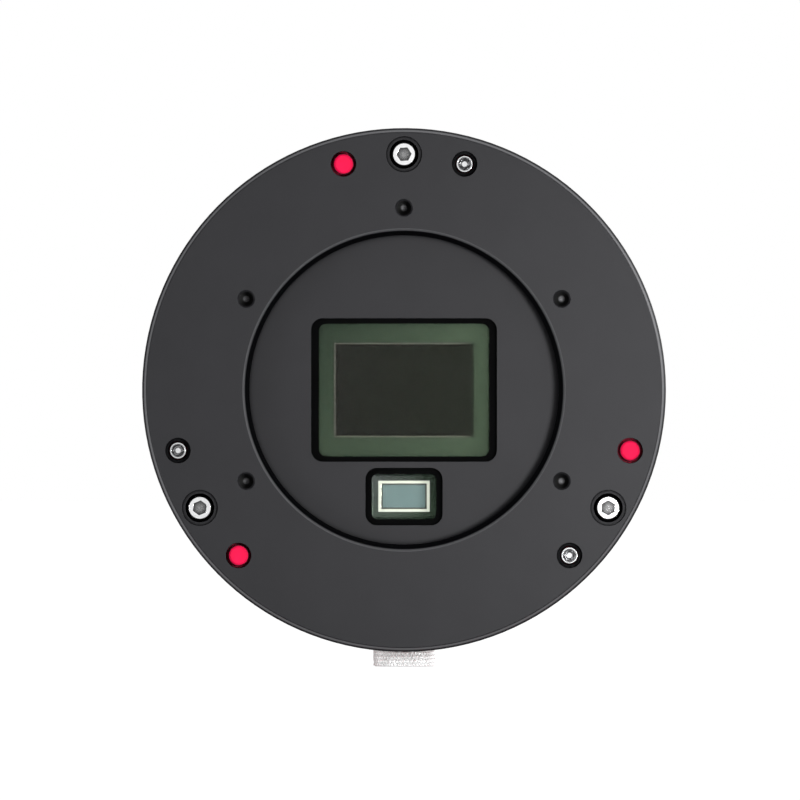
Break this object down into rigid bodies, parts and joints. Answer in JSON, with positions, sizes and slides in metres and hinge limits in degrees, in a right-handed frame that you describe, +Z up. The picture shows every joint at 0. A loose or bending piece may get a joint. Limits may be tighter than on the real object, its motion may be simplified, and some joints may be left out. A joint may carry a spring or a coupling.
{
  "type": "cooled astronomy camera",
  "caption": "Cooled astronomy camera: black round tilt plate, recessed main and guide sensors, red vented body, fan and rear ports.",
  "frame": {"origin": "centre of the tilt plate's front face, on the optical axis", "axes": "-Y forward along the optical axis out of the front opening, +Z up, +X to the right seen from the front"},
  "size_m": [0.09, 0.096, 0.0927],
  "materials": {
    "black_anodised": "matt black anodised aluminium with fine turning marks",
    "red_anodised": "satin red anodised aluminium",
    "red_rubber": "soft matt red",
    "stainless": "bright machined steel",
    "knurled_metal": "bright knurled aluminium",
    "black_rubber": "matt black",
    "optical_glass": "coated optical glass",
    "heater_film": "copper track on amber film",
    "retainer_plastic": "matt black",
    "package_green": "dark green laminate",
    "main_silicon": "dark silicon with a pale border line",
    "guide_silicon": "blue-grey silicon",
    "bond_frame": "pale bonding frame",
    "board_laminate": "green solder mask",
    "brass_standoff": "turned brass",
    "flat_cable": "amber polyimide flat cable",
    "copper": "machined copper",
    "foam": "closed-cell insulating foam",
    "cooler_ceramic": "alumina ceramic",
    "cooler_pellets": "dull grey semiconductor",
    "wire_red": "insulated wire",
    "bare_aluminium": "extruded aluminium",
    "desiccant": "porous orange tablets",
    "fan_plastic": "moulded black",
    "magnet": "dark bonded magnet",
    "winding": "enamelled copper winding",
    "chip_plastic": "moulded black epoxy",
    "jack_plastic": "moulded black",
    "port_shell": "plated steel shell",
    "port_insert": "blue moulded insert"
  },
  "bodies": {
    "camera_body": {"chamber_cover": "black_anodised", "rear_cover": "black_anodised", "front_housing": "red_anodised", "rear_housing": "red_anodised", "chamber_cover_screws": "stainless", "retainer_screws": "stainless", "sensor_board_screws": "stainless", "heat_sink_screws": "stainless", "housing_screws": "stainless", "fan_screws": "stainless", "rear_cover_screws": "stainless", "fan_bearings": "stainless", "chamber_oring": "black_rubber", "window_gasket": "black_rubber", "heat_sink_gasket": "black_rubber", "cable_seal": "black_rubber", "main_window": "optical_glass", "guide_window": "optical_glass", "main_sensor_glass": "optical_glass", "guide_sensor_glass": "optical_glass", "window_heater": "heater_film", "window_retainer": "retainer_plastic", "main_sensor_package": "package_green", "guide_sensor_package": "package_green", "main_sensor_die": "main_silicon", "guide_sensor_die": "guide_silicon", "guide_bond_frame": "bond_frame", "sensor_board": "board_laminate", "main_board": "board_laminate", "sensor_standoffs": "brass_standoff", "sensor_cable": "flat_cable", "cold_finger": "copper", "insulation_ring": "foam", "peltier_plates": "cooler_ceramic", "peltier_pellets": "cooler_pellets", "power_wires": "wire_red", "heat_sink": "bare_aluminium", "fan_frame": "fan_plastic", "fan_stator": "winding", "board_chips": "chip_plastic", "dc_jack": "jack_plastic", "usb3_port": "port_shell", "hub_ports": "port_shell", "port_inserts": "port_insert"},
    "seal_carrier": {"light_seal_ring": "black_rubber"},
    "front_plate": {"tilt_plate": "black_anodised", "red_plugs": "red_rubber"},
    "pull_top": {"pull_screw_top": "stainless"},
    "pull_left": {"pull_screw_left": "stainless"},
    "pull_right": {"pull_screw_right": "stainless"},
    "push_top": {"push_screw_top": "stainless"},
    "push_left": {"push_screw_left": "stainless"},
    "push_right": {"push_screw_right": "stainless"},
    "desiccant_holder": {"desiccant_tube": "bare_aluminium", "desiccant_tablets": "desiccant", "desiccant_oring": "black_rubber"},
    "desiccant_knob": {"desiccant_cap": "knurled_metal"},
    "fan_wheel": {"fan_rotor": "fan_plastic", "fan_magnet": "magnet", "fan_shaft": "stainless"}
  },
  "joints": [
    {"name": "plate_tip", "type": "hinge", "parent": "camera_body", "child": "seal_carrier", "pos_m": [0, 0.0053, -0.02025], "axis": [1, 0, 0], "range_deg": [-0.35, 0.6]},
    {"name": "plate_swing", "type": "hinge", "parent": "seal_carrier", "child": "front_plate", "pos_m": [0, 0.0053, 0], "axis": [0, 0, 1], "range_deg": [-0.35, 0.35]},
    {"name": "pull_top_turn", "type": "hinge", "parent": "front_plate", "child": "pull_top", "pos_m": [0, 0.0033, 0.0405], "axis": [0, -1, 0], "range_deg": [-268, 459]},
    {"name": "pull_left_turn", "type": "hinge", "parent": "front_plate", "child": "pull_left", "pos_m": [-0.03507, 0.0033, -0.02025], "axis": [0, -1, 0], "range_deg": [-155, 155]},
    {"name": "pull_right_turn", "type": "hinge", "parent": "front_plate", "child": "pull_right", "pos_m": [0.03507, 0.0033, -0.02025], "axis": [0, -1, 0], "range_deg": [-155, 155]},
    {"name": "push_top_turn", "type": "hinge", "parent": "camera_body", "child": "push_top", "pos_m": [0.0104, 0.003, 0.03883], "axis": [0, 1, 0], "range_deg": [-262, 448]},
    {"name": "push_left_turn", "type": "hinge", "parent": "camera_body", "child": "push_left", "pos_m": [-0.03883, 0.003, -0.0104], "axis": [0, 1, 0], "range_deg": [-173, 173]},
    {"name": "push_right_turn", "type": "hinge", "parent": "camera_body", "child": "push_right", "pos_m": [0.02843, 0.003, -0.02843], "axis": [0, 1, 0], "range_deg": [-127, 127]},
    {"name": "desiccant_lift", "type": "slide", "parent": "camera_body", "child": "desiccant_holder", "axis": [0, 0, -1], "range_m": [0, 0.006]},
    {"name": "desiccant_cap_turn", "type": "hinge", "parent": "desiccant_holder", "child": "desiccant_knob", "pos_m": [0, 0.017, -0.0432], "axis": [0, 0, -1], "range_deg": [0, 2161]},
    {"name": "fan_spin", "type": "hinge", "parent": "camera_body", "child": "fan_wheel", "pos_m": [0, 0.0835, 0.009], "axis": [0, 1, 0], "continuous": true}
  ],
  "couplings": [
    {"joint": "pull_top_turn", "follows": "plate_tip", "ratio": 763.41},
    {"joint": "push_top_turn", "follows": "plate_tip", "ratio": 742.42},
    {"joint": "pull_left_turn", "follows": "plate_swing", "ratio": 440.75},
    {"joint": "pull_right_turn", "follows": "plate_swing", "ratio": -440.75},
    {"joint": "push_left_turn", "follows": "plate_swing", "ratio": 487.95},
    {"joint": "push_right_turn", "follows": "plate_swing", "ratio": -357.21},
    {"joint": "desiccant_cap_turn", "follows": "desiccant_lift", "rad_per_m": 6283.2}
  ]
}
